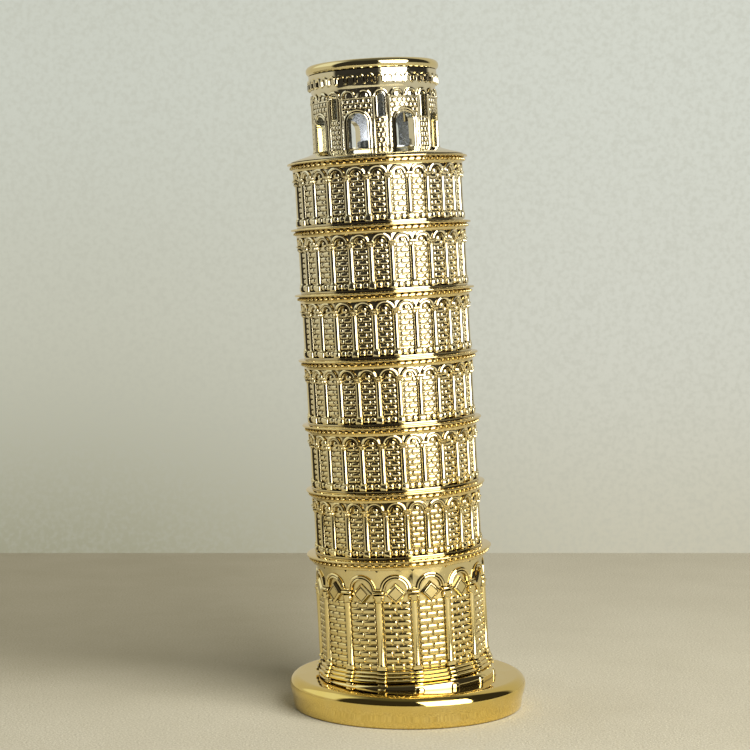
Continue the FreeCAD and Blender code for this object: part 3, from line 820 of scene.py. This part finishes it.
make_base()
make_felt()
make_plinth()
make_ground_storey()
cornice_piece("ground_cornice", 25.9).build(GROUND_TOP, cornice_gold, "gold_plate")
for number in range(1, LOGGIA_COUNT + 1):
    foot = FIRST_FOOT + PITCH * (number - 1)
    loggia_piece(f"loggia_storey_{number}").build(foot, wall_gold, "gold_plate")
    cornice_piece(f"loggia_cornice_{number}", 25.05).build(foot + STOREY_HEIGHT, cornice_gold, "gold_plate")
make_terrace()
make_belfry_drum()
make_belfry_rim()
for node in ("tie_rod", "lower_nut", "lower_washer", "upper_nut", "upper_washer"):
    hidden_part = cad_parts[node]
    hidden_part.data.materials.clear()
    hidden_part.data.materials.append(steel)


# ---------------------------------------------------------------- stage, light and camera

def make_floor():
    """Square of pale linen-like cloth whose far edge is the horizon; a painted shadow darkens it behind, on
    the left, and stains mottle it.
    """
    reach, drop = 0.285, 0.03
    mesh = bpy.data.meshes.new("floor")
    corners = [(-reach, -reach), (reach, -reach), (reach, reach), (-reach, reach)]
    top = [(x, y, 0.0) for x, y in corners]
    low = [(x, y, -drop) for x, y in corners]
    mesh.from_pydata(top + low, [], [(0, 1, 2, 3), (0, 4, 5, 1), (1, 5, 6, 2), (2, 6, 7, 3), (3, 7, 4, 0)])
    material, nodes, links, shader = new_material("pale_cloth")
    cloth = noise(nodes, links, 1500.0, 3.0, 0.6)
    stains = noise(nodes, links, 28.0, 5.0, 0.6)
    tone = ranged(nodes, links, cloth.outputs["Fac"], 0.0, 1.0)
    place = nodes.new("ShaderNodeTexCoord")
    parts = nodes.new("ShaderNodeSeparateXYZ")
    links.new(place.outputs["Object"], parts.inputs["Vector"])
    # Painted shadow: the cloth darkens behind and to the left, where the tower's shadow falls.
    leftward = ranged(nodes, links, parts.outputs["X"], 0.5, 0.0, -0.04, 0.02)
    backward = ranged(nodes, links, parts.outputs["Y"], 0.0, 1.0, -0.02, 0.07)
    shade = nodes.new("ShaderNodeMath")
    shade.operation = "MULTIPLY"
    links.new(leftward, shade.inputs[0])
    links.new(backward, shade.inputs[1])
    shadow_and_stains = nodes.new("ShaderNodeMath")
    shadow_and_stains.operation = "ADD"
    links.new(shade.outputs["Value"], shadow_and_stains.inputs[0])
    links.new(ranged(nodes, links, stains.outputs["Fac"], 0.0, 0.16), shadow_and_stains.inputs[1])
    pale = tinted(nodes, links, tone, (0.43, 0.385, 0.275), (0.64, 0.60, 0.47))
    mix = nodes.new("ShaderNodeMix")
    mix.data_type = "RGBA"
    links.new(shadow_and_stains.outputs["Value"], mix.inputs["Factor"])
    links.new(pale, mix.inputs["A"])
    # Dark cloth tone used for both the painted shadow and the stains.
    mix.inputs["B"].default_value = (0.30, 0.26, 0.16, 1)
    links.new(mix.outputs["Result"], shader.inputs["Base Color"])
    shader.inputs["Roughness"].default_value = 0.9
    links.new(bumped(nodes, links, cloth.outputs["Fac"], 0.3 * MM, 0.6), shader.inputs["Normal"])
    mesh.materials.append(material)
    floor = bpy.data.objects.new("floor", mesh)
    bpy.context.scene.collection.objects.link(floor)


def make_window(name, azimuth, elevation, distance, width, height, power):
    """Large soft light that faces the tower's middle; the camera doesn't see it directly."""
    light = bpy.data.lights.new(name, "AREA")
    light.shape = "RECTANGLE"
    light.size = width
    light.size_y = height
    light.energy = power
    item = bpy.data.objects.new(name, light)
    around, up = math.radians(azimuth), math.radians(elevation)
    target = Vector((0.0, 0.0, 0.09))
    way = Vector((math.sin(around) * math.cos(up), -math.cos(around) * math.cos(up), math.sin(up)))
    item.location = target + way * distance
    item.rotation_euler = way.to_track_quat("Z", "Y").to_euler()
    item.visible_camera = False
    bpy.context.scene.collection.objects.link(item)
    return item


def make_world():
    """Room that the gold reflects: pale, dark to the left and right of the window, and dim overhead.

    The camera sees a pale backdrop in its place, with painted shade that darkens it low down and on the left.
    """
    world = bpy.data.worlds.new("room")
    bpy.context.scene.world = world
    world.use_nodes = True
    nodes, links = world.node_tree.nodes, world.node_tree.links
    background = nodes["Background"]
    place = nodes.new("ShaderNodeTexCoord")
    parts = nodes.new("ShaderNodeSeparateXYZ")
    links.new(place.outputs["Generated"], parts.inputs["Vector"])

    def math_node(operation, first, second=None):
        node = nodes.new("ShaderNodeMath")
        node.operation = operation
        for socket, value in zip(node.inputs, (first, second)):
            if isinstance(value, (int, float)):
                socket.default_value = value
            elif value is not None:
                links.new(value, socket)
        return node.outputs["Value"]

    def step_up(source, low, high):
        spread = nodes.new("ShaderNodeMapRange")
        spread.interpolation_type = "SMOOTHSTEP"
        spread.inputs["From Min"].default_value = low
        spread.inputs["From Max"].default_value = high
        links.new(source, spread.inputs["Value"])
        return spread.outputs["Result"]

    def sector(azimuth, start, end, soft):
        rise = step_up(azimuth, math.radians(start - soft), math.radians(start + soft))
        fall = step_up(azimuth, math.radians(end - soft), math.radians(end + soft))
        return math_node("SUBTRACT", rise, fall)

    def mix(factor, first, second):
        node = nodes.new("ShaderNodeMix")
        node.data_type = "RGBA"
        links.new(factor, node.inputs["Factor"])
        for socket, value in ((node.inputs["A"], first), (node.inputs["B"], second)):
            if isinstance(value, tuple):
                socket.default_value = (*value, 1)
            else:
                links.new(value, socket)
        return node.outputs["Result"]

    azimuth = math_node("ARCTAN2", parts.outputs["X"], math_node("MULTIPLY", parts.outputs["Y"], -1.0))
    height = parts.outputs["Z"]
    pale = (0.55, 0.52, 0.42)
    dark_left = sector(azimuth, -72, 13, 4)
    dark_right = math_node("MULTIPLY", sector(azimuth, 62, 118, 6), step_up(height, -0.10, 0.0))
    dark = math_node("MAXIMUM", dark_left, dark_right)
    left_wall = math_node("MULTIPLY", sector(azimuth, -125, -74, 4), step_up(height, 0.1, 0.25))
    room = mix(left_wall, pale, (0.85, 0.88, 0.80))
    room = mix(dark, room, (0.035, 0.032, 0.028))
    overhead = step_up(height, 0.75, 0.97)
    room = mix(overhead, room, (0.11, 0.11, 0.09))
    seen = nodes.new("ShaderNodeLightPath")
    # Painted shade on the backdrop: darker low down and on the left, lighter to the right and at the top.
    low_left, low_right = (0.31, 0.30, 0.20), (0.56, 0.53, 0.40)
    middle_left, middle_right = (0.54, 0.54, 0.44), (0.645, 0.65, 0.565)
    top_left, top_right = (0.60, 0.62, 0.54), (0.66, 0.68, 0.60)
    rightward = step_up(parts.outputs["X"], -0.17, 0.15)
    low = mix(rightward, low_left, low_right)
    middle = mix(rightward, middle_left, middle_right)
    top = mix(rightward, top_left, top_right)
    backdrop = mix(step_up(height, -0.06, 0.10), mix(step_up(height, -0.19, -0.02), low, middle), top)
    weave = nodes.new("ShaderNodeTexNoise")
    weave.inputs["Scale"].default_value = 420.0
    weave.inputs["Detail"].default_value = 3.0
    links.new(place.outputs["Generated"], weave.inputs["Vector"])
    threads = math_node("MULTIPLY", step_up(weave.outputs["Fac"], 0.35, 0.75), 0.3)
    backdrop = mix(threads, backdrop, (0.46, 0.46, 0.38))
    links.new(mix(seen.outputs["Is Camera Ray"], room, backdrop), background.inputs["Color"])
    background.inputs["Strength"].default_value = 1.0


def make_camera():
    """Long lens, a little above the middle of the tower, looking along +Y and slightly down."""
    camera = bpy.data.cameras.new("camera")
    camera.sensor_width = 36.0
    camera.lens = 95.9
    camera.clip_start = 0.01
    item = bpy.data.objects.new("camera", camera)
    item.location = (-0.0092, -0.5575, 0.1261)
    item.rotation_euler = (math.radians(90.0 - 3.42), 0.0, 0.0)
    bpy.context.scene.collection.objects.link(item)
    bpy.context.scene.camera = item


make_floor()
make_window("window_light", 39.0, 20.0, 1.0, 0.9, 0.95, 14.0)
daylight = make_window("daylight", 38.0, 34.0, 1.0, 0.9, 0.7, 8.0)
daylight.visible_glossy = False
make_world()
make_camera()
bpy.context.scene.view_settings.view_transform = "Standard"
